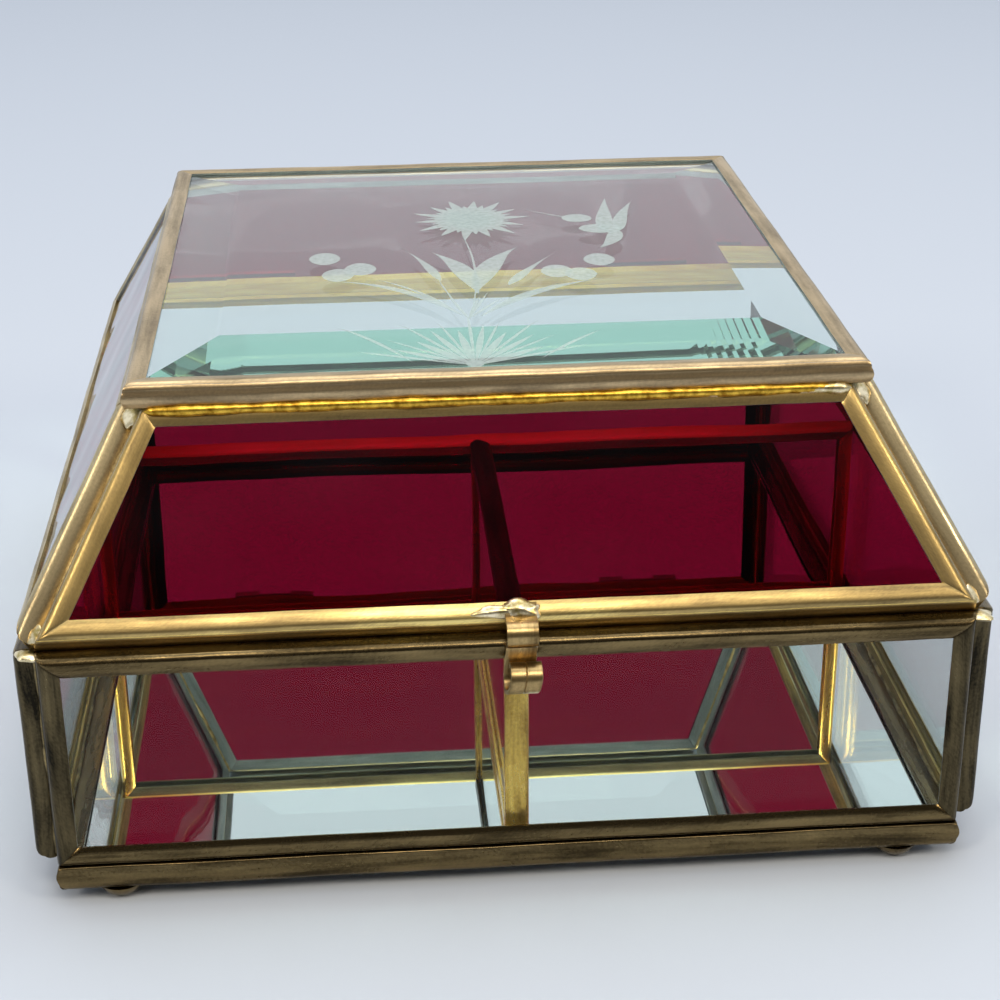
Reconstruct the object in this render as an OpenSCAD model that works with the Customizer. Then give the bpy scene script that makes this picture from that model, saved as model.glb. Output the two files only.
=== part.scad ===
// Glass casket box: every pane is edged by its own folded brass channel (a came), the
// panes are soldered edge to edge, and the hipped lid turns on two small hinges at the back.
// Frame: +Z up, front towards -Y, origin under the middle of the box on the surface it stands on.

/* [Box] */
// Width across the outer faces of the two side walls
box_w = 180; // [120:1:260]
// Depth from the front wall's face to the back wall's face
box_d = 196; // [120:1:280]
// Height of the four walls
wall_h = 44; // [30:1:90]

/* [Lid] */
// Height of the lid from its lower inner edge to its flat top
lid_h = 42.4; // [25:0.1:80]
// Width of the flat top
top_w = 137; // [90:1:170]
// Depth of the flat top
top_d = 150; // [90:1:190]
// Gap between the tops of the walls and the lid's lower inner edges
lid_gap = 0.5; // [0.3:0.1:1.5]
// How far the front and back panels' upper inner edges lie inside the flat top's outline
tuck_end = 4.8; // [4:0.1:8]
// How far the side panels' upper inner edges lie inside the flat top's outline
tuck_side = 3; // [2:0.1:8]

/* [Brass channel] */
// Thickness of every channel across its spine
came_w = 4.6; // [4.2:0.1:6]
// How far the channel's flanges reach over the glass
came_flange = 4; // [3:0.1:6]
// Thickness of the brass sheet that the channel is folded from
came_sheet = 0.5; // [0.4:0.05:0.7]
// Radius of the channel's two outer corners
came_round = 1; // [0.5:0.1:1.6]
// Thickness of the base's channel, which stands under the walls
base_t = 5.3; // [4.2:0.1:7]
// Width of the solder bead in each groove between two channels
bead = 0.9; // [0.6:0.1:1.6]

/* [Glass] */
// Thickness of the clear, ruby and mirror panes
glass_t = 3; // [2:0.1:3.1]
// Thickness of the bevelled top pane inside its bevels
top_glass_t = 5.4; // [5:0.1:6]
// Thickness of the bevelled top pane at its rim
top_rim_t = 2.9; // [2:0.1:3]
// Width of the bevels along the left and right rims
bevel_side = 16; // [13:0.5:24]
// Width of the bevels along the front and back rims
bevel_end = 21; // [13:0.5:26]

/* [Compartments] */
// Height of the cross partition and of the front divider
partition_h = 43; // [20:1:80]
// Place of the cross partition behind the box's middle
partition_y = 0; // [-20:1:20]
// Place of the front divider to the right of the box's middle
divider_x = 0.8; // [-20:0.1:20]

/* [Feet] */
// Diameter of each foot where it meets the base
foot_d = 9; // [8:0.5:12]
// Height of each foot
foot_h = 3; // [2:0.5:3.5]
// Diameter of the flat on which each foot stands
foot_flat = 3.4; // [2:0.1:4]
// Distance of each foot's axis from the ends of the base
foot_in_x = 11; // [8:0.5:25]
// Distance of each foot's axis from the base's front and back
foot_in_y = 4.5; // [4:0.5:12]

/* [Catch] */
// Place of the catch to the right of the box's middle
catch_x = 1.4; // [-20:0.1:20]
// Width of the catch strip
catch_w = 5.8; // [4:0.1:9]
// Thickness of the catch strip
catch_t = 0.8; // [0.6:0.1:1]
// Gap between the catch and the front wall's channel
catch_gap = 0.5; // [0.4:0.1:1]
// Radius of the catch's bump, to the middle of the strip
bump_r = 2.1; // [1.8:0.1:2.6]
// Radius of the curled finger loop, to the middle of the strip
loop_r = 2.5; // [1.6:0.1:3]
// Length of the straight strip between the bump and the loop
neck_l = 5.2; // [1:0.1:8]

/* [Hinges] */
// Distance of each hinge's middle from the box's middle
hinge_x = 52; // [30:1:55]
// Length of each hinge
hinge_l = 22; // [15:1:30]
// Length of the lid's knuckle in each hinge
lid_knuckle_l = 8; // [5:0.5:10]
// Outer diameter of the knuckles
knuckle_d = 4.4; // [3.8:0.1:5]
// Diameter of the hinge pins
pin_d = 2; // [1.6:0.1:2.2]
// Clearance round each hinge pin
pin_fit = 0.05; // [0.03:0.01:0.1]
// Gap beside the lid's knuckle, and round all that turns past the wall
hinge_gap = 0.35; // [0.3:0.05:0.5]
// Thickness of the hinge leaves
leaf_t = 0.8; // [0.6:0.1:1]
// Height of the wall's hinge leaf below the top of the wall
leaf_h = 4; // [3:0.5:8]
// Radius of the rounded head at each end of a hinge pin
pin_head_r = 1.5; // [1.3:0.1:1.8]

/* [Hidden] */
$fn = 48;

brass = [0.62, 0.52, 0.30];
solder = [0.80, 0.70, 0.42];
clear_glass = [0.78, 0.88, 0.88, 0.35];
ruby_glass = [0.42, 0.0, 0.10, 0.7];
mirror_glass = [0.75, 0.80, 0.82];

// The panes' inner faces make a closed shell, and every channel lies outside it.
inner_w = box_w - 2*came_w;
inner_d = box_d - 2*came_w;
base_top = foot_h + base_t;
wall_top = base_top + wall_h;
lid_low = wall_top + lid_gap;
lid_top = lid_low + lid_h;
// Underside of the flat top's channel
top_low = lid_top - came_w;

// The size of the four sloping panels' upper edges, and how far each panel leans in
high_w = top_w - 2*tuck_side;
high_d = top_d - 2*tuck_end;
end_run = (inner_d - high_d)/2;
side_run = (inner_w - high_w)/2;

// How far the spine of a channel that leans by tilt stands above its upper inner edge
function spine_rise(tilt) = (came_w - came_round)*cos(tilt) + came_round*(1 - sin(tilt));

// The tilt at which the flatter panels' spines just reach the flat top's channel
function flatter_tilt(tilt, steps) = steps == 0 ? tilt : flatter_tilt(
    atan2(top_low - spine_rise(tilt) - lid_low, max(end_run, side_run)), steps - 1);

lid_high = top_low - spine_rise(flatter_tilt(60, 6));
lid_rise = lid_high - lid_low;
end_tilt = atan2(lid_rise, end_run);
side_tilt = atan2(lid_rise, side_run);
end_slope = norm([lid_rise, end_run]);
side_slope = norm([lid_rise, side_run]);

// Margin by which cutting shapes run past what they cut
over = 1;
// A length beyond the size of every panel
far = 2*max(box_w, box_d);

// ---- Panels ----
// A panel lies in the X-Y plane with its lower inner edge on the X axis, and its inner
// face at Z = 0. It is low_w wide below, high_w wide above and h high.

function half_width(low_w, high_w, h, y) = low_w/2 + (high_w - low_w)/2*y/h;

function slant(low_w, high_w, h) = norm([1, (low_w - high_w)/(2*h)]);

// The panel's outline, drawn in by d on every side
function outline(low_w, high_w, h, d) =
    let (
        low = half_width(low_w, high_w, h, d) - d*slant(low_w, high_w, h),
        high = half_width(low_w, high_w, h, h - d) - d*slant(low_w, high_w, h)
    )
    [[-low, d], [low, d], [high, h - d], [-high, h - d]];

// All that lies within a channel's rounded spine along the edge from p to q
module inside_edge(p, q, t) {
    translate([p.x, p.y, 0])
        rotate([0, 0, atan2(q.y - p.y, q.x - p.x)])
            translate([-far, 0, 0])
                rotate([90, 0, 90])
                    linear_extrude(2*far)
                        union() {
                            translate([came_round, 0])
                                square([far, t]);
                            translate([0, came_round])
                                square([2*came_round, t - 2*came_round]);
                            for (y = [came_round, t - came_round])
                                translate([came_round, y])
                                    circle(came_round);
                        }
}

// The channel folded round a panel: a slab with a rounded rim, slotted for the pane and
// opened between its flanges. It is t thick across its spine.
module came(low_w, high_w, h, t = came_w) {
    edge = outline(low_w, high_w, h, 0);
    color(brass)
        difference() {
            intersection_for(i = [0:3])
                inside_edge(edge[i], edge[(i + 1) % 4], t);
            translate([0, 0, came_sheet])
                linear_extrude(t - 2*came_sheet)
                    polygon(outline(low_w, high_w, h, came_sheet));
            translate([0, 0, -over])
                linear_extrude(t + 2*over)
                    polygon(outline(low_w, high_w, h, came_flange));
        }
}

// The flat pane that stands in the middle of a channel t thick
module pane(low_w, high_w, h, t = came_w) {
    translate([0, 0, (t - glass_t)/2])
        linear_extrude(glass_t)
            polygon(outline(low_w, high_w, h, came_sheet));
}

// Puts a panel's lower inner edge at distance half from the middle and at height z, leaning
// by tilt from level: turn 0 faces the front, 90 the right, 180 the back and -90 the left.
module on_side(turn, half, z, tilt) {
    rotate([0, 0, turn])
        translate([0, -half, z])
            rotate([tilt, 0, 0])
                children();
}

// ---- Base ----
module on_base() {
    translate([0, -box_d/2, base_top])
        mirror([0, 0, 1])
            children();
}

module floor_mirror() {
    color(mirror_glass) on_base() pane(inner_w, inner_w, box_d, base_t);
}

module floor_came() {
    on_base() came(inner_w, inner_w, box_d, base_t);
}

// A low domed foot under the base's channel, flattened where it stands
module foot(side_x, side_y) {
    dome_z = (pow(foot_d/2, 2) + pow(foot_h, 2) - pow(foot_flat/2, 2))/(2*foot_h);
    color(brass)
        translate([side_x*(inner_w/2 - foot_in_x), side_y*(box_d/2 - foot_in_y), 0])
            intersection() {
                translate([0, 0, dome_z])
                    sphere(norm([foot_flat/2, dome_z]));
                cylinder(r = foot_d, h = foot_h);
            }
}

// ---- Walls ----
module front_wall(turn) {
    on_side(turn, inner_d/2, base_top, 90) children();
}

module side_wall(turn) {
    on_side(turn, inner_w/2, base_top, 90) children();
}

module front_wall_glass() {
    color(clear_glass) front_wall(0) pane(inner_w, inner_w, wall_h);
}

module front_wall_came() {
    front_wall(0) came(inner_w, inner_w, wall_h);
}

module back_wall_glass() {
    color(clear_glass) front_wall(180) pane(inner_w, inner_w, wall_h);
}

module back_wall_came() {
    front_wall(180) came(inner_w, inner_w, wall_h);
}

module left_wall_glass() {
    color(clear_glass) side_wall(-90) pane(inner_d, inner_d, wall_h);
}

module left_wall_came() {
    side_wall(-90) came(inner_d, inner_d, wall_h);
}

module right_wall_glass() {
    color(clear_glass) side_wall(90) pane(inner_d, inner_d, wall_h);
}

module right_wall_came() {
    side_wall(90) came(inner_d, inner_d, wall_h);
}

// ---- Compartments ----
// The divider runs from the front wall's inner face to the partition's front face.
divider_back = partition_y - came_w/2;
divider_l = divider_back + inner_d/2;

module on_partition() {
    translate([0, partition_y + came_w/2, base_top])
        rotate([90, 0, 0])
            children();
}

module on_divider() {
    translate([divider_x - came_w/2, divider_back - divider_l/2, base_top])
        rotate([0, 0, 90])
            rotate([90, 0, 0])
                children();
}

module partition_glass() {
    color(clear_glass) on_partition() pane(inner_w, inner_w, partition_h);
}

module partition_came() {
    on_partition() came(inner_w, inner_w, partition_h);
}

module divider_glass() {
    color(clear_glass) on_divider() pane(divider_l, divider_l, partition_h);
}

module divider_came() {
    on_divider() came(divider_l, divider_l, partition_h);
}

// ---- Lid ----
module lid_end(turn) {
    on_side(turn, inner_d/2, lid_low, end_tilt) children();
}

module lid_side(turn) {
    on_side(turn, inner_w/2, lid_low, side_tilt) children();
}

module on_lid_top() {
    translate([0, -top_d/2, top_low])
        children();
}

module lid_front_glass() {
    color(ruby_glass) lid_end(0) pane(inner_w, high_w, end_slope);
}

module lid_front_came() {
    lid_end(0) came(inner_w, high_w, end_slope);
}

module lid_back_glass() {
    color(ruby_glass) lid_end(180) pane(inner_w, high_w, end_slope);
}

module lid_back_came() {
    lid_end(180) came(inner_w, high_w, end_slope);
}

module lid_left_glass() {
    color(ruby_glass) lid_side(-90) pane(inner_d, high_d, side_slope);
}

module lid_left_came() {
    lid_side(-90) came(inner_d, high_d, side_slope);
}

module lid_right_glass() {
    color(ruby_glass) lid_side(90) pane(inner_d, high_d, side_slope);
}

module lid_right_came() {
    lid_side(90) came(inner_d, high_d, side_slope);
}

// Section across the bevelled pane: flat below, bevelled down to its rim on both sides
module bevelled_section(w, bevel) {
    polygon([
        [-w/2, 0], [w/2, 0], [w/2, top_rim_t], [w/2 - bevel, top_glass_t],
        [bevel - w/2, top_glass_t], [-w/2, top_rim_t]
    ]);
}

module lid_top_glass() {
    w = top_w - 2*came_sheet;
    d = top_d - 2*came_sheet;
    color(clear_glass)
        translate([0, 0, top_low + came_sheet])
            intersection() {
                translate([0, d/2, 0])
                    rotate([90, 0, 0])
                        linear_extrude(d)
                            bevelled_section(w, bevel_side);
                translate([-w/2, 0, 0])
                    rotate([90, 0, 90])
                        linear_extrude(w)
                            bevelled_section(d, bevel_end);
            }
}

module lid_top_came() {
    on_lid_top() came(top_w, top_w, top_d);
}

// ---- Catch ----
// The catch is one bent strip, soldered to the face of the lid's front channel. Its section
// is drawn with X out from the front wall's face and Y up from the underside of the base.

// Lower outer corner of the lid's front channel, the way up its face and the way out of it
rail_low = [came_w*sin(end_tilt) - came_w, lid_low + came_w*cos(end_tilt)];
rail_up = [-cos(end_tilt), sin(end_tilt)];
rail_out = [sin(end_tilt), cos(end_tilt)];

// The strip's bends: out round the bump, in to the neck, straight down and round the loop
neck_x = catch_gap + catch_t/2;
neck_r = 0.6;
bump_start = 105;
loop_end = 510;
bump_mid = [neck_x + neck_r, wall_top + 2];
neck_mid = [bump_mid.x, bump_mid.y - bump_r - neck_r];
loop_mid = [neck_x + loop_r, neck_mid.y - neck_l];

function polar(r, a) = r*[cos(a), sin(a)];

// A bend of the strip: radius r to its middle, from angle a to angle b
module bend(mid, r, a, b) {
    translate(mid)
        intersection() {
            difference() {
                circle(r + catch_t/2);
                circle(r - catch_t/2);
            }
            polygon(concat([[0, 0]], [for (i = [0:4]) polar(2*r, a + (b - a)*i/4)]));
        }
}

module catch_section() {
    foot_low = rail_low + came_round*rail_up;
    foot_high = rail_low + (came_flange - 0.3)*rail_up;
    polygon([
        foot_high,
        foot_low,
        bump_mid + polar(bump_r - catch_t/2, bump_start),
        bump_mid + polar(bump_r + catch_t/2, bump_start),
        foot_low + catch_t*rail_out,
        foot_high + catch_t*rail_out
    ]);
    bend(bump_mid, bump_r, bump_start, -90);
    bend(neck_mid, neck_r, 90, 180);
    polygon([
        [neck_x - catch_t/2, loop_mid.y],
        [neck_x + catch_t/2, loop_mid.y],
        [neck_x + catch_t/2, neck_mid.y],
        [neck_x - catch_t/2, neck_mid.y]
    ]);
    bend(loop_mid, loop_r, 180, loop_end);
}

module catch() {
    color(brass)
        translate([catch_x + catch_w/2, -box_d/2, 0])
            rotate([90, 0, -90])
                linear_extrude(catch_w)
                    catch_section();
}

// ---- Hinges ----
// Each hinge's axis runs along X behind the back wall, level with the gap under the lid. Its
// sections are drawn with X out from the back wall's face and Y up.
hinge_out = hinge_gap + knuckle_d/2;
hinge_up = wall_top + knuckle_d/4;

// Draws a section at the back wall's face and runs it from start to start + run along X
module behind(start, run) {
    translate([start, box_d/2, 0])
        rotate([90, 0, 90])
            linear_extrude(run)
                children();
}

module around_pin() {
    difference() {
        children();
        translate([hinge_out, hinge_up])
            circle(d = pin_d + 2*pin_fit);
    }
}

module wall_leaf(x) {
    wall_knuckle_l = (hinge_l - lid_knuckle_l)/2 - hinge_gap;
    color(brass) {
        behind(x - hinge_l/2, hinge_l)
            translate([0, wall_top - leaf_h])
                square([leaf_t, leaf_h - came_round]);
        for (start = [x - hinge_l/2, x + hinge_l/2 - wall_knuckle_l])
            behind(start, wall_knuckle_l)
                around_pin()
                    union() {
                        translate([hinge_out, hinge_up])
                            circle(d = knuckle_d);
                        translate([0, wall_top - leaf_h])
                            square([hinge_out, leaf_h - came_round]);
                    }
    }
}

// The lid's leaf lies on the face of the lid's back channel and reaches down to its knuckle.
module lid_leaf(x) {
    low = rail_low + came_round*rail_up;
    high = rail_low + (came_flange - 0.3)*rail_up;
    color(brass) {
        behind(x - hinge_l/2, hinge_l)
            polygon([low, high, high + leaf_t*rail_out, low + leaf_t*rail_out]);
        behind(x - lid_knuckle_l/2, lid_knuckle_l)
            around_pin()
                union() {
                    translate([hinge_out, hinge_up])
                        circle(d = knuckle_d);
                    polygon([
                        low,
                        high + leaf_t*rail_out,
                        [hinge_out + knuckle_d/2, hinge_up],
                        [hinge_out, hinge_up]
                    ]);
                }
    }
}

// A wire pin with a low round head outside the knuckles at each end
module hinge_pin(x) {
    head_l = 0.8;
    color(brass)
        translate([x, box_d/2 + hinge_out, hinge_up])
            rotate([0, 90, 0]) {
                cylinder(d = pin_d, h = hinge_l + 2*hinge_gap, center = true);
                for (end = [-1, 1])
                    translate([0, 0, end*(hinge_l/2 + hinge_gap + head_l/2)])
                        cylinder(r = pin_head_r, h = head_l, center = true);
            }
}

// ---- Solder ----
// A bead from p to q fills the groove between two channels whose spines run out along u and v.
module solder_bead(p, q, u, v) {
    along = (q - p)/norm(q - p);
    side = cross(along, u);
    spread = atan2(v*side, v*u);
    color(solder)
        multmatrix([
            [u.x, side.x, along.x, p.x],
            [u.y, side.y, along.y, p.y],
            [u.z, side.z, along.z, p.z]
        ])
            linear_extrude(norm(q - p))
                polygon([[0, 0], [bead, 0], bead*[cos(spread), sin(spread)]]);
}

// Upright grooves at the walls' corners: side_x is 1 on the right, side_y is 1 at the back
module wall_bead(side_x, side_y) {
    corner = [side_x*inner_w/2, side_y*inner_d/2, base_top];
    solder_bead(corner, corner + [0, 0, wall_h], [side_x, 0, 0], [0, side_y, 0]);
}

module base_bead(side_x) {
    corner = [side_x*inner_w/2, -inner_d/2, base_top];
    solder_bead(corner, corner + [0, inner_d, 0], [side_x, 0, 0], [0, 0, -1]);
}

// The ways out of the lid's sloping panels
function end_out(side_y) = [0, side_y*sin(end_tilt), cos(end_tilt)];
function side_out(side_x) = [side_x*sin(side_tilt), 0, cos(side_tilt)];

module hip_bead(side_x, side_y) {
    solder_bead(
        [side_x*inner_w/2, side_y*inner_d/2, lid_low],
        [side_x*high_w/2, side_y*high_d/2, lid_high],
        side_out(side_x),
        end_out(side_y)
    );
}

// The wedge between the flat top's channel and the spine of a sloping one l long, whose upper
// inner edge is at distance half from the middle and which leans by tilt
module top_bead(turn, half, tilt, l) {
    low = [half, lid_high] + came_sheet*[sin(tilt), cos(tilt)];
    high = [half, lid_high] + (came_w - came_round)*[sin(tilt), cos(tilt)];
    color(solder)
        rotate([0, 0, turn])
            translate([-l/2, 0, 0])
                rotate([90, 0, 90])
                    linear_extrude(l)
                        polygon([low, high, [high.x, top_low], [low.x, top_low]]);
}

floor_mirror();
floor_came();
front_wall_glass();
front_wall_came();
back_wall_glass();
back_wall_came();
left_wall_glass();
left_wall_came();
right_wall_glass();
right_wall_came();
partition_glass();
partition_came();
divider_glass();
divider_came();
lid_front_glass();
lid_front_came();
lid_back_glass();
lid_back_came();
lid_left_glass();
lid_left_came();
lid_right_glass();
lid_right_came();
lid_top_glass();
lid_top_came();
foot(-1, -1);  // foot_front_left
foot(1, -1);  // foot_front_right
foot(-1, 1);  // foot_back_left
foot(1, 1);  // foot_back_right
catch();
wall_leaf(-hinge_x);  // hinge_left_wall_leaf
lid_leaf(-hinge_x);  // hinge_left_lid_leaf
hinge_pin(-hinge_x);  // hinge_left_pin
wall_leaf(hinge_x);  // hinge_right_wall_leaf
lid_leaf(hinge_x);  // hinge_right_lid_leaf
hinge_pin(hinge_x);  // hinge_right_pin
wall_bead(-1, -1);  // solder_wall_front_left
wall_bead(1, -1);  // solder_wall_front_right
wall_bead(-1, 1);  // solder_wall_back_left
wall_bead(1, 1);  // solder_wall_back_right
base_bead(-1);  // solder_base_left
base_bead(1);  // solder_base_right
hip_bead(-1, -1);  // solder_hip_front_left
hip_bead(1, -1);  // solder_hip_front_right
hip_bead(-1, 1);  // solder_hip_back_left
hip_bead(1, 1);  // solder_hip_back_right
top_bead(180, high_d/2, end_tilt, high_w);  // solder_top_front
top_bead(0, high_d/2, end_tilt, high_w);  // solder_top_back
top_bead(90, high_w/2, side_tilt, high_d);  // solder_top_left
top_bead(-90, high_w/2, side_tilt, high_d);  // solder_top_right
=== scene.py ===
import math

import bmesh
import bpy
import numpy as np
from mathutils import Matrix, Vector


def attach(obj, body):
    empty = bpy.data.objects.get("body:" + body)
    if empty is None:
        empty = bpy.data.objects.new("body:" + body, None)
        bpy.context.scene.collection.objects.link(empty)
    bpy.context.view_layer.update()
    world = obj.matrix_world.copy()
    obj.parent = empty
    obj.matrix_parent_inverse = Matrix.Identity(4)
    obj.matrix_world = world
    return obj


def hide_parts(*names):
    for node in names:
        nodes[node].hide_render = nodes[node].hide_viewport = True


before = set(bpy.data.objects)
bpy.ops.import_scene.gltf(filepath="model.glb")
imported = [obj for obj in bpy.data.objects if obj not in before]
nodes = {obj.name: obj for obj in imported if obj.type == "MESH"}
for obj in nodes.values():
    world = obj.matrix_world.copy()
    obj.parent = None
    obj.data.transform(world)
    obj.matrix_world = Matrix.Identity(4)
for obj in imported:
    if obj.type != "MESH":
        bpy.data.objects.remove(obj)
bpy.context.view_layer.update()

# ---- Base: floor channel and feet ----
# The base's folded brass channel, mitred round the floor, and four domed brass feet soldered
# under it. The brass has never been polished since, so it is olive brown with tarnish; its
# colour is darkened further as painted shade, for the dim room that its upright faces reflect.
# Paler streaks and patches lie at random over it.
mm = 0.001


def srgb(code):
    """A hex colour such as "c8b070" as linear red, green, blue and alpha."""
    values = [int(code[i:i + 2], 16) / 255 for i in (0, 2, 4)]
    linear = [v / 12.92 if v <= 0.04045 else ((v + 0.055) / 1.055) ** 2.4 for v in values]
    return (*linear, 1.0)


def add(tree, kind, inputs=None, **settings):
    """Adds a node with its settings. An input is given a value, or the socket that feeds it."""
    made = tree.nodes.new(kind)
    for name, value in settings.items():
        setattr(made, name, value)
    for name, value in (inputs or {}).items():
        if isinstance(value, bpy.types.NodeSocket):
            tree.links.new(value, made.inputs[name])
        else:
            made.inputs[name].default_value = value
    return made


def coordinates(tree, by="Object"):
    """The place on the surface: Object in metres, or UV. Generated is a ray's way in a world."""
    return add(tree, "ShaderNodeTexCoord").outputs[by]


def noise(tree, where, scale, detail, roughness=0.5):
    """Noise between 0 and 1, whose clouds are one over the scale wide."""
    return add(tree, "ShaderNodeTexNoise", {"Vector": where, "Scale": scale, "Detail": detail,
               "Roughness": roughness}).outputs["Fac"]


def sums(tree, operation, *values):
    """The result of one sum on numbers or sockets."""
    return add(tree, "ShaderNodeMath", dict(enumerate(values)), operation=operation).outputs[0]


def spread(tree, value, low, high, at_low=0.0, at_high=1.0, **settings):
    """A value between low and high, moved in proportion to between at_low and at_high."""
    return add(tree, "ShaderNodeMapRange", {"Value": value, "From Min": low, "From Max": high,
               "To Min": at_low, "To Max": at_high}, **settings).outputs["Result"]


def two_tones(tree, value, dull, low, clean, high):
    """A colour ramp: dull up to the value low, clean from the value high."""
    ramp = add(tree, "ShaderNodeValToRGB", {"Fac": value})
    for end, place, colour in zip(ramp.color_ramp.elements, (low, high), (dull, clean)):
        end.position = place
        end.color = srgb(colour)
    return ramp


def new_material(name):
    """An empty node material, with its tree and its output node."""
    material = bpy.data.materials.new(name)
    material.use_nodes = True
    tree = material.node_tree
    tree.nodes.clear()
    return material, tree, tree.nodes.new("ShaderNodeOutputMaterial")


def surface(tree, output, inputs):
    """Gives a material the one shader that most surfaces need, with its inputs."""
    shader = add(tree, "ShaderNodeBsdfPrincipled", inputs)
    tree.links.new(shader.outputs["BSDF"], output.inputs["Surface"])


def aged_brass(name, dull, clean, tarnish=0.5, roughness=(0.36, 0.5), by="UV", metallic=1.0,
               highlight_at=None):
    """Rolled brass sheet: streaks of tarnish 20 mm long and 2 mm wide along the strip, cloudy
    patches 25 mm across, rolling lines 0.3 mm apart and pits. Where their sum is less than
    tarnish the brass is dull and rough, where it is more it is clean, over 0.1 either way. By is
    UV, or Object for CAD nodes. The last argument is a place in metres about which a painted
    highlight is laid: the brass turns clean and then pale gold, less and less up to 36 mm away."""
    material, tree, output = new_material(name)
    where = coordinates(tree, by)
    per_mm = 1.0 if by == "UV" else 1000.0
    stretches = [add(tree, "ShaderNodeMapping", {"Vector": where, "Scale": (
                     along * per_mm, across * per_mm, across * per_mm)}).outputs[0]
                 for along, across in ((0.05, 0.5), (0.12, 3.3), (1.0, 1.0))]
    streak = noise(tree, stretches[0], 1.0, 3.0)
    lines = noise(tree, stretches[1], 1.0, 2.0)
    cloud = noise(tree, stretches[2], 0.04, 5.0, 0.6)
    pits = noise(tree, stretches[2], 1.6, 3.0)
    mask = sums(tree, "MULTIPLY", streak, 0.42)
    for part, share in ((cloud, 0.36), (lines, 0.07), (pits, 0.15)):
        mask = sums(tree, "MULTIPLY_ADD", part, share, mask)
    # Painted highlight: near the given place the mask rises, so the brass turns clean, then pale
    # gold.
    if highlight_at:
        away = add(tree, "ShaderNodeVectorMath", {0: coordinates(tree), 1: highlight_at},
                   operation="DISTANCE").outputs["Value"]
        mask = sums(tree, "ADD", mask, spread(tree, away, 0.0, 0.036, 0.16, 0.0))
    ramp = two_tones(tree, mask, dull, tarnish - 0.1, clean, tarnish + 0.1)
    if highlight_at:
        ramp.color_ramp.elements.new(tarnish + 0.2).color = srgb("f6dc8c")
    rough = spread(tree, mask, tarnish - 0.1, tarnish + 0.1, roughness[1], roughness[0])
    relief = sums(tree, "ADD", lines, pits)
    bump = add(tree, "ShaderNodeBump", {"Height": relief, "Strength": 0.16, "Distance": 0.00008})
    surface(tree, output, {"Base Color": ramp.outputs["Color"], "Metallic": metallic,
            "Roughness": rough, "Normal": bump.outputs["Normal"]})
    return material


def dress(material, names):
    """Gives CAD nodes a material."""
    for name in names:
        mesh = nodes[name].data
        mesh.materials.clear()
        mesh.materials.append(material)


def piece(name, grids, materials, body, stands_for=()):
    """One mesh from grids of points. Each grid is rows along a length and columns round a closed
    section; its ends are capped. Beside each grid are its columns' material numbers. The UV map
    holds millimetres: the distance along the length, and the distance round the section. Each
    grid starts 37 mm further along, so that no two strips have the same streaks."""
    points, faces, numbers, places = [], [], [], []
    for grid, columns in grids:
        rows, round_ = grid.shape[:2]
        first = sum(len(p) for p in points)
        index = first + np.arange(rows * round_).reshape(rows, round_)
        beside = np.roll(index, -1, axis=1)
        quads = np.stack([index[:-1], beside[:-1], beside[1:], index[1:]], -1).reshape(-1, 4)
        points.append(grid.reshape(-1, 3))
        faces += quads.tolist() + [index[0, ::-1].tolist(), index[-1].tolist()]
        numbers += np.tile(columns, rows - 1).tolist() + [0, 0]
        closed = np.concatenate([grid, grid[:, :1]], 1)
        steps = [np.linalg.norm(np.diff(closed, axis=k), axis=-1) for k in (0, 1)]
        u = np.pad(steps[0], ((1, 0), (0, 0))).cumsum(0) + 37.0 * len(points)
        v = np.pad(steps[1], ((0, 0), (1, 0))).cumsum(1)
        uv = np.stack([u, v], -1)
        corners = [uv[:-1, :-1], uv[:-1, 1:], uv[1:, 1:], uv[1:, :-1]]
        places += [np.stack(corners, 2).reshape(-1, 2), uv[0, -2::-1], uv[-1, :-1]]
    mesh = bpy.data.meshes.new(name)
    mesh.from_pydata(np.concatenate(points) * mm, [], faces)
    mesh.uv_layers.new(name="UVMap").data.foreach_set("uv", np.concatenate(places).ravel())
    mesh.polygons.foreach_set("material_index", np.array(numbers, np.int32))
    shape = bmesh.new()
    shape.from_mesh(mesh)
    bmesh.ops.recalc_face_normals(shape, faces=shape.faces)
    shape.to_mesh(mesh)
    shape.free()
    mesh.polygons.foreach_set("use_smooth", [True] * len(mesh.polygons))
    mesh.set_sharp_from_angle(angle=math.radians(40))
    for material in materials:
        mesh.materials.append(material)
    made = bpy.data.objects.new(name, mesh)
    bpy.context.scene.collection.objects.link(made)
    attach(made, body)
    if stands_for:
        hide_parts(*stands_for)


def unit(vector):
    """A vector at length one."""
    return vector / np.linalg.norm(vector)


def node_points(name):
    """A CAD node's separate points, in millimetres."""
    mesh = nodes[name].data
    flat = np.empty(len(mesh.vertices) * 3, np.float32)
    mesh.vertices.foreach_get("co", flat)
    return np.unique((flat.reshape(-1, 3) / mm).round(3), axis=0).astype(float)


def panel(pane, came):
    """A panel from its CAD nodes: the corners of its middle plane in turn, its outward normal
    and its channel's thickness. The pane stops short of the channel's spine by the sheet, so
    its corners are moved out along both edges by the sheet over the sine of their angle."""
    sheet, box_middle = 0.5, (0, 5, 45)
    pane = node_points(pane)
    middle = pane.mean(0)
    normal = np.linalg.svd(pane - middle)[2][2]
    if normal @ (middle - box_middle) < 0:
        normal = -normal
    flat = pane - np.outer((pane - middle) @ normal, normal)
    first = unit(flat[0] - middle)
    turn = np.arctan2((flat - middle) @ np.cross(normal, first), (flat - middle) @ first)
    corners = flat[np.argsort(turn)].reshape(4, 2, 3).mean(1)
    ahead = np.array([unit(corners[(i + 1) % 4] - corners[i]) for i in range(4)])
    behind = np.roll(ahead, 1, axis=0)
    sine = np.linalg.norm(np.cross(behind, ahead), axis=1)[:, None]
    corners = corners + sheet * (behind - ahead) / sine
    across = (node_points(came) - middle) @ normal
    return corners, normal, across.max() - across.min()


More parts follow.
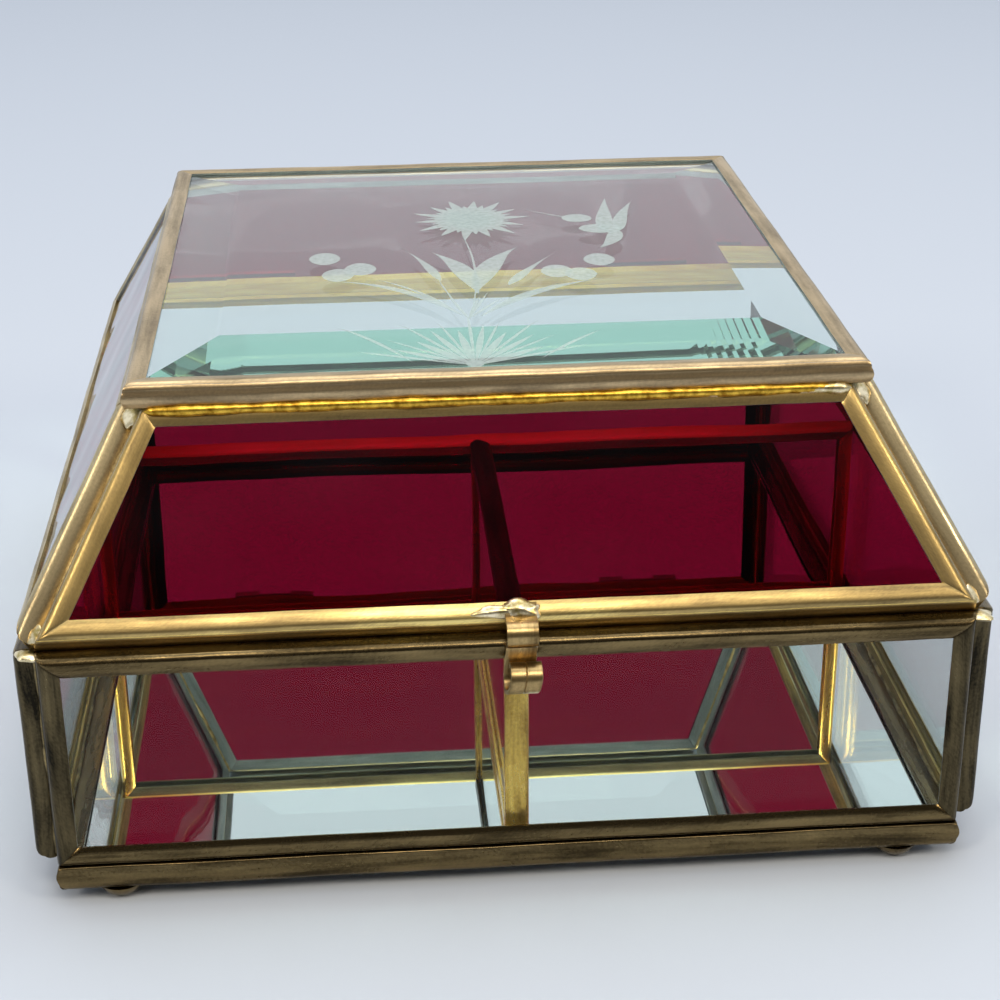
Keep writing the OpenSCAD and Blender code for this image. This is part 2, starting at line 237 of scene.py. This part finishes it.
def channel_section(thick, camber=0.45, bulge=0.1, reach=4.0, inside_reach=4.0, corner=1.6):
    """Section of the folded channel: depth in from the spine, height from the middle plane, and
    its parts: 0 the outer flange, 1 the spine, 2 the inner faces and flange. The outer flange
    falls by the camber from its round corner to its lip, as a square of the distance. Its
    columns: 0 to 8 the outer flange, 9 to 17 the round corner, 18 to 20 the spine, 21 to 26 the
    small bend, 27 and 28 the inner lip, and from 29 on the inside of the fold."""
    half, sheet, small = thick / 2, 0.45, 0.35
    run = np.linspace(0, 1, 9)
    turn = np.radians(np.linspace(90, 180, 10)[1:])
    outer = np.stack([
        np.append(reach + (corner - reach) * run, corner + corner * np.cos(turn)),
        np.append(half - camber * (1 - run) ** 2, half - corner + corner * np.sin(turn))], -1)
    bend = np.radians(np.linspace(180, 270, 6))
    spine = [[-0.7 * bulge, 0.1 * half], [-bulge, -0.3 * half], [-0.8 * bulge, -0.6 * half]]
    fold = np.stack([small + small * np.cos(bend), small - half + small * np.sin(bend)], -1)
    lip = [[inside_reach, 0.1 - half], [inside_reach, 0.1 + sheet - half]]
    inside = [[1.5, sheet - half], [sheet, sheet - half], [sheet, half - sheet],
              [2.0, half - sheet], [reach, half - sheet - camber]]
    section = np.concatenate([outer, spine, fold, lip, inside])
    column = np.arange(len(section))
    return section, (column >= 9).astype(int) + (column >= 26)


def wave(x, seed, size):
    """Hand-made unevenness: three sines 47, 19 and 7 mm long, of falling height."""
    return size * (np.sin(x / 7.5 + seed * 1.7) + 0.6 * np.sin(x / 3.0 + seed * 2.9)
                   + 0.25 * np.sin(x / 1.15 + seed * 4.3))


def channel(name, shape, came, materials, body, seed, finish=(0, 0, 1), high=(1e3, 0, 0, 0),
            post=None, uneven=0.04, lip=0.0, wider=0.0, **section_sizes):
    """The channel round a panel's shape: four folded strips, mitred at the corners, with every
    other strip's tips lapped over its neighbours'. Finish gives the materials of a section's
    parts; high is a height, and the finish of strips whose middle is above it; post is the
    finish of upright strips. The inside corner of the lower strips hangs down by lip, and their
    inside flange is wider. Rows are close near the tips and about 2 mm apart between them."""
    corners, normal, thick = shape
    section, part = channel_section(thick, **section_sizes)
    height = section[:, 1]
    corner_column, spine_column, lip_below, lip_above = 17, 20, 27, 28
    hang = lip * np.interp(np.arange(len(section)),
                           [corner_column, spine_column, lip_below, lip_above], [0, 1, 1, 0])
    lap_rise, lap_run = 0.13, 6
    tip_rows = np.array([0, 0.3, 0.8, 1.6])
    grids = []
    for i in range(4):
        start, end = corners[i], corners[(i + 1) % 4]
        along = unit(end - start)
        inward = np.cross(normal, along)
        above = (start + end)[2] / 2 > high[0]
        depth = section[:, 0].copy()
        depth[[lip_below, lip_above]] += 0 if above else wider
        mitres = []
        for at, other in ((start, corners[i - 1]), (end, corners[(i + 2) % 4])):
            toward = along if at is start else -along
            mitres.append(1 / math.tan(math.acos(toward @ unit(other - at)) / 2))
        length = np.linalg.norm(end - start)
        lap = lap_rise if abs(along[2]) < 0.1 and i % 2 == seed % 2 else 0.0
        rows = np.unique(np.concatenate([tip_rows, np.linspace(3, length - 3, int(length / 2)),
                                         length - tip_rows])) / length
        row = rows[:, None]
        first = depth * mitres[0] - lap_run * lap * depth / 4
        last = length - depth * mitres[1] + lap_run * lap * depth / 4
        place = first + (last - first) * row
        near = np.minimum(row, 1 - row) * length
        round_off = 0.2 * np.exp(-near / 0.35)
        outer = np.where(height > 0, 1.0, -1.0)
        lift = wave(place, seed + i, uneven) + outer * (lap * np.exp(-near / lap_run) - round_off)
        sway = wave(place, seed + i + 9, uneven) * 0.7 + uneven
        grid = (start + place[..., None] * along + (depth + sway)[..., None] * inward
                + (height + lift)[..., None] * normal)
        grid[..., 2] -= 0 if above else hang
        upright = abs(along[2]) > 0.9
        # The walls give their upright strips the posts' painted-shade brass.
        used = high[1:] if above else post if post and upright else finish
        grids.append((grid, np.array(used)[part]))
    piece(name, grids, materials, body, [came])


# Tarnish, darkened further as painted shade: the upright faces reflect the dim room in front.
tarnish_and_shade = ("3e3422", "84714d", 0.5, (0.18, 0.34))
wall_brass = aged_brass("tarnished_and_shade_painted_brass_sheet", *tarnish_and_shade)
channel("base_channel", panel("floor_mirror", "floor_came"), "floor_came",
        [wall_brass, wall_brass], "box", 1, camber=0.7, bulge=0.35)
dress(aged_brass("tarnished_and_shade_painted_brass_pressing", *tarnish_and_shade, "Object"),
      [n for n in nodes if n.startswith("foot")])

# ---- Floor mirror ----
# A mirror of silvered glass, held all round by the base's channel. The glass gives the floor a
# faint green.
mirror, tree, output = new_material("silvered_mirror_glass")
surface(tree, output, {"Base Color": srgb("fbfdfc"), "Metallic": 1.0, "Roughness": 0.015})
dress(mirror, ["floor_mirror"])

# ---- Walls ----
# Four panes of clear glass in folded brass channels, stood on the base's channel and soldered
# edge to edge. The posts are darkest, with painted shade for the dim room that they reflect.
# Inside, the back wall's top rail is pale yellow, a painted sheen, and its bottom rail has the
# posts' painted shade; the side walls' inner faces are dimmer, a painted shade too.


def glass(name, tint, lamp_tint, gloss=1.0, ior=1.5, sag=0.0, body_tint=None):
    """Glass; lamps shine straight through it, tinted. Gloss is the share of its reflection kept.
    Sag is the height in metres of its waves, which are about 30 mm long. Body tint colours light
    by the length of its way through the glass."""
    material, tree, output = new_material(name)
    shader = add(tree, "ShaderNodeBsdfPrincipled", {"Base Color": srgb(tint), "Roughness": 0.0,
                 "IOR": ior, "Transmission Weight": 1.0,
                 "Specular Tint": (gloss, gloss, gloss, 1.0)})
    if sag:
        waves = add(tree, "ShaderNodeBump", {"Height": noise(tree, coordinates(tree), 32.0, 1.0),
                    "Strength": 1.0, "Distance": sag})
        tree.links.new(waves.outputs["Normal"], shader.inputs["Normal"])
    if body_tint:
        depths = add(tree, "ShaderNodeVolumeAbsorption", {"Color": body_tint, "Density": 5.0})
        tree.links.new(depths.outputs["Volume"], output.inputs["Volume"])
    clear = add(tree, "ShaderNodeBsdfTransparent", {"Color": srgb(lamp_tint)})
    shadow = add(tree, "ShaderNodeLightPath").outputs["Is Shadow Ray"]
    mix = add(tree, "ShaderNodeMixShader", {0: shadow, 1: shader.outputs["BSDF"],
              2: clear.outputs["BSDF"]})
    tree.links.new(mix.outputs["Shader"], output.inputs["Surface"])
    return material


dress(glass("float_glass", "eef6f4", "f0f8f6", 0.15),
      [n for n in nodes if n.endswith("_glass") and not n.startswith("lid")])
# Painted sheen: pale yellow and hardly metallic, so inner faces look as bright as brass that
# reflects the sky; inside the back wall, on the partition's top spine and on the front and back
# slopes' lower rails.
sheen_painted_brass = aged_brass("painted_sheen_brass_sheet", "e0b43c", "ffec84", 0.46, (0.3, 0.42), metallic=0.1)
# Painted shade: a dimmer copy of the inner brass for the inner faces of the side walls and side
# slopes.
shade_dimmed_brass = aged_brass("painted_shade_side_brass_sheet", "5e5234", "b8a060", 0.5, metallic=0.85)
# Painted shade: the posts' brass is darkened for the dim room that upright faces reflect.
shade_painted_brass = aged_brass("painted_shade_brass_sheet", "221f18", "685c42", 0.5, (0.26, 0.44))
# Low inside is the material of the bottom rail's inner faces; the back wall's is the posts'
# painted shade.
for seed, side, inside, low_inside, inside_reach in (
        (2, "front", wall_brass, 1, 2.4), (3, "back", sheen_painted_brass, 2, 1.4),
        (4, "left", shade_dimmed_brass, 1, 2.4), (5, "right", shade_dimmed_brass, 1, 2.4)):
    channel(f"{side}_wall_channel", panel(f"{side}_wall_glass", f"{side}_wall_came"),
            f"{side}_wall_came", [wall_brass, inside, shade_painted_brass], "box", seed,
            finish=(0, 0, low_inside), high=(40, 0, 0, 1), post=(2, 2, 2),
            camber=0.7, bulge=0.3, inside_reach=inside_reach)


def solder_material(name, dull, bright, roughness=0.3, ripples=0.4):
    """Brass-plated solder: bright ripples about 2 mm apart, duller in the hollows."""
    material, tree, output = new_material(name)
    ripple = noise(tree, coordinates(tree), 500.0, 4.0, 0.6)
    ramp = two_tones(tree, ripple, dull, 0.36, bright, 0.62)
    bump = add(tree, "ShaderNodeBump", {"Height": ripple, "Strength": ripples,
               "Distance": 0.0003})
    surface(tree, output, {"Base Color": ramp.outputs["Color"], "Metallic": 1.0,
            "Roughness": roughness, "Normal": bump.outputs["Normal"]})
    return material


def solder_run(start, end, out, width, seed, taper=0.0, uneven=0.22):
    """A bead from start to end: round section, whose radius swells and thins with the length,
    grows as the length to the power taper, and closes to a point at both ends. It is pushed out
    along out by a sixth of its width."""
    start, end = np.asarray(start, float), np.asarray(end, float)
    length = np.linalg.norm(end - start)
    along = (end - start) / length
    out = unit(out - (out @ along) * along)
    side = np.cross(along, out)
    place = np.linspace(0, length, max(8, int(length / 0.9)))
    near = np.minimum(place, length - place)
    radius = width / 2 * np.sqrt(np.clip(near / (width * 0.7), 0.0004, 1))
    swell = 1 + wave(place * 2.3, seed, uneven)
    radius = radius * swell * np.clip(place / length, 0.01, 1) ** taper
    turn = np.linspace(0, 2 * math.pi, 12, endpoint=False)
    ring = np.cos(turn)[:, None] * out + np.sin(turn)[:, None] * side
    pushed = (wave(place, seed + 5, 0.12) + width / 6)[:, None] * out
    middle = start + place[:, None] * along + pushed
    return middle[:, None] + radius[:, None, None] * ring, np.zeros(12, int)


def lump(middle, size, seed, tilt=(0, 0, 1), number=0):
    """A blob of solder in the material of that number: an ellipsoid, its own Z axis turned to
    tilt, whose radius is stirred by sines of its angles."""
    rise = np.linspace(-math.pi / 2 + 0.02, math.pi / 2 - 0.02, 18)[:, None]
    turn = np.linspace(0, 2 * math.pi, 28, endpoint=False)[None]
    stir = (1 + 0.16 * np.sin(2 * turn + seed) * np.cos(rise) ** 2
            + 0.05 * np.sin(3 * rise + 2 * seed)
            + 0.12 * np.sin(5 * turn + 3 * seed) * np.cos(rise) ** 4)
    ball = np.stack([np.cos(rise) * np.cos(turn), np.cos(rise) * np.sin(turn),
                     np.sin(rise) + 0 * turn], -1)
    ball = ball * stir[..., None] * np.asarray(size, float)
    turned = np.array(Vector((0, 0, 1)).rotation_difference(Vector(tilt)).to_matrix())
    return ball @ turned.T + np.asarray(middle, float), np.full(28, number)


solder = solder_material("brass_plated_solder", "b09c60", "fff0cc")
dull_solder = solder_material("tarnished_solder", "5a5038", "9c8a60", 0.42, 0.2)
wall_face, low = node_points("front_wall_came").min(0)[1:]
half_w, wall_top = node_points("front_wall_came").max(0)[[0, 2]]
half_d = node_points("left_wall_came").max(0)[1]
for x, across in ((-1, "left"), (1, "right")):
    for y, end in ((-1, "front"), (1, "back")):
        run = solder_run([x * half_w, y * half_d, low], [x * half_w, y * half_d, wall_top - 0.5],
                         np.array([x, y, 0.0]), 1.3, x + 2 * y)
        cap = lump([x * (half_w + 1.3), y * (half_d + 1.3), wall_top - 0.55], [2.4, 2.4, 0.7],
                   x + 3 * y, number=1)
        piece(f"solder_of_wall_{end}_{across}", [run, cap], [dull_solder, solder], "box",
              [f"solder_wall_{end}_{across}"])
    run = solder_run([x * half_w, -half_d, low], [x * half_w, half_d, low],
                     np.array([x, 0, -1.0]), 1.2, x)
    piece(f"solder_of_base_{across}", [run], [dull_solder], "box",
          [f"solder_base_{across}"])

# ---- Compartments ----
# A pane across the box and a shorter one in front of it, in brass channels soldered to the
# walls'. Nobody's hands reach them, so their brass is still bright. The partition's top rail
# has duller olive sides and a pale yellow painted sheen on its spine; the divider's top rail has
# the posts' painted shade.
bright_brass = aged_brass("bright_brass_sheet", "a07430", "ffd06c", 0.48, (0.24, 0.36),
                          metallic=0.85)
duller_brass = aged_brass("duller_olive_brass_sheet", "6a6042", "a89c6c", 0.5, metallic=0.3)
# The partition's top rail takes the duller brass, and the painted-sheen brass on its spine; the
# divider's top rail takes the posts' painted-shade brass.
for seed, place, high in ((6, "partition", (45, 2, 3, 2)), (7, "divider", (45, 1, 1, 1))):
    channel(f"{place}_channel", panel(f"{place}_glass", f"{place}_came"), f"{place}_came",
            [bright_brass, shade_painted_brass, duller_brass, sheen_painted_brass], "box", seed,
            finish=(0, 0, 0), high=high, uneven=0.03,
            bulge=0.4, reach=3.0, inside_reach=3.0, corner=1.2)

# ---- Sloping sides of the lid ----
# Ruby glass, a little wavy, in four brass channels soldered to one another along the hips. It
# is dyed through, so it is nearly black where little light comes back through it, and wine red
# where some does.
handled = ("82745a", "d8c69c", 0.48, (0.3, 0.44))
lid_brass = aged_brass("handled_brass_sheet", *handled)
# Painted shade: grey, not brass yellow, on the inner faces of the hips, the slopes' upper rails
# and the top channel.
shaded_brass = aged_brass("painted_shade_grey_brass_sheet", "7c8688", "b6bcbc", 0.5, metallic=0.7)
# Painted highlight: a pale gold patch on the front slope's brass near the catch.
highlight_painted_brass = aged_brass("painted_highlight_brass_sheet", "7c6a48", "c6aa6e", 0.48, (0.32, 0.46),
                          highlight_at=(-0.012, -0.096, 0.052))
ruby_glass = glass("ruby_glass", "7e0826", "9a1a36", 0.25, sag=0.0007)
for seed, side, outside, inside, reach, wider in (
        (8, "front", highlight_painted_brass, sheen_painted_brass, 4.0, 0.0),
        (9, "back", lid_brass, sheen_painted_brass, 3.0, 2.0),
        (10, "left", lid_brass, shade_dimmed_brass, 3.0, 0.0),
        (11, "right", lid_brass, shade_dimmed_brass, 3.0, 0.0)):
    dress(ruby_glass, [f"lid_{side}_glass"])
    channel(f"lid_{side}_channel", panel(f"lid_{side}_glass", f"lid_{side}_came"),
            f"lid_{side}_came", [outside, inside, shaded_brass], "lid", seed,
            high=(60, 0, 0, 2), lip=1.1, wider=wider, reach=reach, inside_reach=3.0)
handled_solder = solder_material("handled_solder", "8a744a", "cfb47c", 0.38, 0.2)
slope, slope_out, slope_thick = panel("lid_front_glass", "lid_front_came")
inner = slope - slope_out * slope_thick / 2
low_corner = inner[np.argmax(inner[:, 0] - inner[:, 2])]
high_corner = inner[np.argmax(inner[:, 0] + inner[:, 2])]
side_out = panel("lid_right_glass", "lid_right_came")[1]
for x, across in ((-1, "left"), (1, "right")):
    for y, end in ((-1, "front"), (1, "back")):
        flip = np.array([x, -y, 1.0])
        out = unit(slope_out + side_out) * flip
        foot, head = low_corner * flip, high_corner * flip
        way = unit(head - foot)
        run = solder_run(foot, head, out, 1.3, 5 + x + 2 * y)
        blobs = [lump(head - 2.2 * way + 1.9 * out, [2.3, 2.9, 0.7], 3 * x + y, out, 1),
                 lump(foot + 1.8 * way + 1.4 * out, [1.6, 1.8, 0.5], x - 2 * y, out, 1)]
        piece(f"solder_of_hip_{end}_{across}", [run, *blobs], [handled_solder, solder], "lid",
              [f"solder_hip_{end}_{across}"])

# ---- Flat top of the lid ----
# A thick glass plate, green through its thickness, with wide polished bevels. Its own brass
# channel is laid on the sloping panels and soldered under its edges, more at one end of each.
top_w, top_d, top_high = node_points("lid_top_came").max(0)
top_low = node_points("lid_top_came").min(0)[2]
level = (top_low + top_high) / 2
rim = np.array([[x * top_w, y * top_d, level] for x, y in ((-1, -1), (1, -1), (1, 1), (-1, 1))])
top_brass = aged_brass("lacquered_brass_sheet", "86755a", "ccb288", 0.48, (0.3, 0.44))
channel("lid_top_channel", (rim, np.array([0, 0, 1.0]), top_high - top_low), "lid_top_came",
        [top_brass, shaded_brass], "lid", 12, camber=0.3, bulge=0.45)
dress(glass("bevelled_plate_glass", "f2f8f6", "f0f8f6", 0.8, 1.52,
            body_tint=(0.04, 0.726, 0.5, 1.0)), ["lid_top_glass"])
gold_solder = solder_material("gold_plated_solder", "9a701e", "f4c850", 0.34, 0.2)
# The seams lie this far below the channel, in from its edge and short of its corners.
below, inset, short = 0.8, 0.6, 3.5
for turn, side in ((0, "front"), (90, "right"), (180, "back"), (-90, "left")):
    spin = np.array(Matrix.Rotation(math.radians(turn), 3, "Z"))
    reach, half = (top_d, top_w - short) if turn % 180 == 0 else (top_w, top_d - short)
    start = spin @ [-half, inset - reach, top_low - below]
    end = spin @ [half, inset - reach, top_low - below]
    run = solder_run(start, end, spin @ [0, -1.0, 0.2], 2.2, turn / 50 + 3, uneven=0.07)
    flood = solder_run(start + 0.5 * (end - start), end, spin @ [0, -1.0, -0.3], 2.2,
                       turn / 40 + 1, 0.5)
    piece(f"solder_under_top_{side}", [run, (flood[0], flood[1] + 1)], [gold_solder, solder],
          "lid", [f"solder_top_{side}"])

# ---- Picture cut into the flat top ----
# A flower, its leaves, a humming bird and round cuts, ground into the plate with a wheel and
# left frosted. Each cut is a shallow lens; where cuts cross they look denser.
plate = node_points("lid_top_glass")
plate_low, plate_high = plate[:, 2].min(), plate[:, 2].max()
flat_d = np.abs(plate[plate[:, 2] > plate_high - 0.01][:, 1]).max()
rim_z = plate[(plate[:, 2] < plate_high - 0.5) & (plate[:, 2] > plate_low + 0.5)][:, 2].max()
rim_d = np.abs(plate[:, 1]).max()


def cut(points, width, peak=1.0, tip=1.0):
    """One cut: a Bezier curve through its control points in plan; its half width is a sine of
    its length to a power, widest early for peak under 1, and blunt-ended for tip under 1. Past
    the flat it follows the bevel down."""
    points = np.asarray(points, float)
    t = np.linspace(0.004, 0.996, 17)
    order = len(points) - 1
    weights = np.stack([math.comb(order, k) * t ** k * (1 - t) ** (order - k)
                        for k in range(order + 1)], -1)
    middle = weights @ points
    ahead = np.gradient(middle, axis=0)
    ahead /= np.linalg.norm(ahead, axis=1)[:, None]
    side = np.stack([-ahead[:, 1], ahead[:, 0]], -1)
    half = width / 2 * np.sin(math.pi * t ** peak) ** tip
    grid = np.empty((len(t), 4, 3))
    for column, (across, rise) in enumerate(((1, 0.03), (0, 0.06), (-1, 0.03), (0, 0.02))):
        grid[:, column, :2] = middle + across * half[:, None] * side
        beyond = np.clip(np.abs(grid[:, column, 1]) - flat_d, 0, None)
        grid[:, column, 2] = plate_high + rise - beyond * (plate_high - rim_z) / (rim_d - flat_d)
    return grid, np.zeros(4, int)


def oval(middle, length, width, turn=0.0):
    """A round-ended cut at middle, turned from the X axis by turn degrees."""
    way = np.array([math.cos(math.radians(turn)), math.sin(math.radians(turn))]) * length / 2
    return cut([np.array(middle) - way, np.array(middle) + way], width, 1.0, 0.5)


def spoke(middle, reach_x, reach_y, degrees, width, peak, tip=1.0):
    """A cut from middle outward, to a point on an ellipse."""
    turn = math.radians(degrees)
    end = [middle[0] + reach_x * math.cos(turn), middle[1] + reach_y * math.sin(turn)]
    return cut([middle, end], width, peak, tip)


# The flower head: 28 petals of four lengths, and its frosted centre.
centre, petals = (0.4, 19.0), (1.0, 0.74, 0.92, 0.68)
cuts = [spoke(centre, 13.6 * petals[k % 4], 16.0 * petals[k % 4], 360 / 28 * k + 4,
              2.7, 0.75, 0.9) for k in range(28)]
cuts += [oval(centre, 5, 6)]
# The bird: its body, head, bill, two wings and tail.
cuts += [oval((28.6, 9.2), 9.6, 7.0, -5), oval((24.3, 17.6), 6.8, 6.2, -20),
         cut([(22.0, 18.4), (13.4, 25.2)], 0.45, 0.5),
         cut([(29.3, 7), (30.6, 20), (32.6, 33.4)], 3.8, 0.55, 1.2),
         cut([(32.6, 7), (33.4, 18), (38.4, 30)], 3.2, 0.6, 1.2),
         cut([(31.5, 9), (31.8, 0), (26.4, -5.4)], 3.6, 0.7, 1.1)]
# Six round cuts, three on each side.
cuts += [oval(middle, 6.6, 8.4)
         for middle in ((-32, -7.3), (-29.3, -18.8), (-24.6, -15.2), (25.5, -13.4),
                        (15.8, -20.4), (20.6, -22.8))]
# The stem, the leaves beside it and the long stalks.
cuts += [cut(points, *widths) for points, widths in (
    ([(-2.2, 8.3), (-0.2, -9), (-0.2, -26), (-4.1, -49)], (0.5,)),
    ([(-9.6, -4.6), (-2.2, -15), (-1.3, -34)], (4.6, 1.3, 1.2)),
    ([(9.2, -3.0), (1.4, -12), (-1.9, -34)], (5.0, 1.3, 1.2)),
    ([(-15.6, -1.6), (-10.5, -12), (-8.4, -25)], (2.2, 2.2)),
    ([(-8.8, -24), (-8.2, -29), (-6.0, -40)], (0.4,)),
    ([(17.4, -6.6), (10, -18), (5.0, -29)], (2.4, 2.4)),
    ([(-31, -22.8), (-16, -25), (-5.5, -46.5)], (2.0, 1.2, 1.3)),
    ([(-21, -23), (-12, -30), (-5.2, -47)], (0.9,)),
    ([(25.2, -26), (8, -31), (-1.8, -47.5)], (2.6, 1.2, 1.3)),
    ([(16, -28), (6, -36), (-1.2, -47)], (1.0,)))]
# Four small blades where the stalks meet.
cuts += [cut([(-4.3, -48.6), end], 0.7, 0.8)
         for end in ((-7.4, -34), (-1.2, -35), (3.2, -36.5), (0.6, -33))]
# The tuft at the front: a fan of 17 blades, one more on each side, and its root.
blades, blade_widths = (23, 15, 20, 17), (0.7, 1.6, 0.6, 1.3)
cuts += [spoke((-4.4, -69.5), blades[k % 4], blades[k % 4], 18 + 9 * k,
               blade_widths[k % 4], 1.1) for k in range(17)]
cuts += [cut([(-30, -51.4), (-22, -58), (-15.8, -67.6)], 0.8),
         cut([(20.4, -56.6), (14, -61), (7.8, -67.8)], 0.8), oval((-4.4, -68.8), 3.4, 3.0)]
ground, tree, output = new_material("wheel_ground_glass")
grit = noise(tree, coordinates(tree), 1100.0, 2.0)
cover = spread(tree, grit, 0.3, 0.7, 0.34, 0.44)
haze = add(tree, "ShaderNodeBsdfDiffuse", {"Color": srgb("ccd6d8"), "Roughness": 0.4})
clear = add(tree, "ShaderNodeBsdfTransparent", {"Color": srgb("f4faf8")})
mix = add(tree, "ShaderNodeMixShader", {0: cover, 1: clear.outputs["BSDF"],
          2: haze.outputs["BSDF"]})
tree.links.new(mix.outputs["Shader"], output.inputs["Surface"])
piece("picture_cut_in_top", cuts, [ground], "lid")

# ---- Catch ----
# One strip of brass, soldered to the lid's lower rail, bent out in a bump over the gap and
# curled below into a loop for a finger, a little askew. A crease runs down the loop's middle.
gap, strip_t, bump_r, neck_r, loop_r, neck_l = 0.5, 0.8, 2.1, 0.6, 2.5, 5.2
loop_start, loop_end = 180, 508
catch_low, catch_high = node_points("catch").min(0), node_points("catch").max(0)
catch_middle = (catch_high[0] + catch_low[0]) / 2
half_strip, half_t = (catch_high[0] - catch_low[0]) / 2, strip_t / 2
face = slope + slope_out * slope_thick / 2
rail_foot, rail_head = face[np.argmin(face[:, 2])][1:], face[np.argmax(face[:, 2])][1:]
up_rail = unit(rail_head - rail_foot)


def arc(middle, radius, start, end, count):
    """Points of an arc in the catch's own plane: out from the wall, and up."""
    turn = np.radians(np.linspace(start, end, count))
    return np.stack([middle[0] + radius * np.cos(turn), middle[1] + radius * np.sin(turn)], -1)


neck_x = gap + half_t
bump = (neck_x + neck_r, wall_top + 2.0)
neck = (bump[0], bump[1] - bump_r - neck_r)
loop = (neck_x + loop_r, neck[1] - neck_l)
rail = np.array([rail_foot + k * up_rail for k in (3.7, 2.4, 1.0)])
rail = np.stack([wall_face - rail[:, 0], rail[:, 1]], -1)
rail = rail + half_t * np.array([-slope_out[1], slope_out[2]])
line = np.concatenate([rail, arc(bump, bump_r, 105, -90, 24), arc(neck, neck_r, 90, 180, 8)[1:],
                       arc(loop, loop_r, loop_start, loop_end, 44)])
distance = np.append(0, np.cumsum(np.linalg.norm(np.diff(line, axis=0), axis=1)))
even = np.linspace(0, distance[-1], 150)
line = np.stack([np.interp(even, distance, line[:, k]) for k in (0, 1)], -1)
ahead = np.gradient(line, axis=0)
ahead /= np.linalg.norm(ahead, axis=1)[:, None]
out_way = np.stack([-ahead[:, 1], ahead[:, 0]], -1)
edge = np.array([(-1, -0.6), (-0.96, -0.95), (-0.5, -1), (-0.06, -0.98), (0, -0.6),
                 (0.06, -0.98), (0.5, -1), (0.96, -0.95), (1, -0.6), (1, 0.6), (0.96, 0.95),
                 (0.5, 1), (0, 1), (-0.5, 1), (-0.96, 0.95), (-1, 0.6)])
crease = 4
curled = even - even[-1] + math.radians(loop_end - loop_start) * loop_r
skew = np.interp(curled, [-5, 0, 4, 9], [0, -0.5, -0.5, 0.5])
rise = np.tile(edge[:, 1] * half_t, (len(line), 1))
rise[curled < 3, crease] = -half_t
flat = line[:, None] + rise[..., None] * out_way[:, None]
grid = np.stack([catch_middle + edge[:, 0] * half_strip + skew[:, None],
                 wall_face - flat[..., 0], flat[..., 1]], -1)
catch_brass = aged_brass("polished_brass_strip", "6e5a3a", "c2a672", 0.48, (0.26, 0.4))
piece("catch_strip", [(grid, np.zeros(len(edge), int))], [catch_brass], "lid",
      ["catch"])
blobs = [lump([catch_middle + along, *(rail_foot + up * up_rail)], size, seed, slope_out)
         for along, up, size, seed in ((-2.8, 2.3, (5.0, 1.4, 0.9), 1),
                                       (0.1, 2.4, (3.8, 1.8, 1.5), 4))]
piece("solder_of_catch", blobs, [solder], "lid")

# ---- Hinges ----
# Two small butt hinges of the same brass as the lid, their leaves soldered to the back rails
# of the wall and the lid, with headed wire pins through their knuckles.
dress(aged_brass("handled_brass_leaf", *handled, "Object"),
      [n for n in nodes if n.startswith("hinge")])

# ---- Stage ----
# A pale paper floor under soft light from above and behind. The room in front is dim, so the
# dark of it shows in the upright faces.
bpy.ops.mesh.primitive_plane_add(size=12.0, location=(0, 0, 0))
floor = bpy.context.object
floor.name = "studio_floor"
paper, tree, output = new_material("pale_paper")
surface(tree, output, {"Base Color": srgb("c1c8d3"), "Roughness": 0.9,
        "Specular IOR Level": 0.1})
floor.data.materials.append(paper)

world = bpy.data.worlds.new("studio")
bpy.context.scene.world = world
world.use_nodes = True
tree = world.node_tree
tree.nodes.clear()
parts = add(tree, "ShaderNodeSeparateXYZ", {0: coordinates(tree, "Generated")})
back = spread(tree, parts.outputs["Y"], -0.6, 0.1, interpolation_type="SMOOTHSTEP")
overhead = spread(tree, parts.outputs["Z"], 0.6, 0.85, interpolation_type="SMOOTHSTEP")
open_sky = sums(tree, "MAXIMUM", back, overhead)
colour = add(tree, "ShaderNodeMix", {0: open_sky, 6: srgb("3c3a38"), 7: srgb("e6ecf4")},
             data_type="RGBA")
light = add(tree, "ShaderNodeBackground", {"Color": colour.outputs[2], "Strength": 1.0})
add(tree, "ShaderNodeOutputWorld", {"Surface": light.outputs["Background"]})


def lamp(name, place, size, power, colour="ffffff"):
    """A rectangular soft box at place, turned to the middle of the box."""
    data = bpy.data.lights.new(name, "AREA")
    data.shape = "RECTANGLE"
    data.size, data.size_y = size
    data.energy = power
    data.color = srgb(colour)[:3]
    made = bpy.data.objects.new(name, data)
    bpy.context.scene.collection.objects.link(made)
    made.location = place
    way = Vector((0, 0, 0.05)) - Vector(place)
    made.rotation_euler = way.to_track_quat("-Z", "Y").to_euler()


lamp("overhead_box", (0.0, 0.3, 1.4), (1.2, 1.0), 7.5)
lamp("front_top_box", (0.05, -0.75, 1.15), (0.5, 0.3), 4, "fff4e2")
lamp("front_left_lamp", (-0.8, -0.85, 0.9), (0.3, 0.3), 5, "fff2dc")
lamp("front_right_lamp", (0.8, -0.75, 0.8), (0.3, 0.3), 4, "fff2dc")

# ---- Camera ----
# Its place is in metres and its turn in radians: pitch is down from level, yaw is to the right,
# roll is clockwise. Light crosses many panes of glass, so its rays may bounce 64 times.
pitch, yaw, roll = 0.4219, 0.0767, -0.0079
forward = Vector((math.sin(yaw) * math.cos(pitch), math.cos(yaw) * math.cos(pitch),
                  -math.sin(pitch)))
right = forward.cross(Vector((0, 0, 1))).normalized()
up = right.cross(forward)
across = right * math.cos(roll) + up * math.sin(roll)
upward = up * math.cos(roll) - right * math.sin(roll)
camera = bpy.data.objects.new("camera", bpy.data.cameras.new("camera"))
bpy.context.scene.collection.objects.link(camera)
camera.matrix_world = (Matrix.Translation((-0.02687, -0.41792, 0.2241))
                       @ Matrix((across, upward, -forward)).transposed().to_4x4())
camera.data.sensor_width = 36.0
camera.data.lens = 72.62
camera.data.clip_start = 0.01
bpy.context.scene.camera = camera
bpy.context.scene.view_settings.view_transform = "Standard"
cycles = bpy.context.scene.cycles
cycles.max_bounces = cycles.transmission_bounces = cycles.glossy_bounces = 64
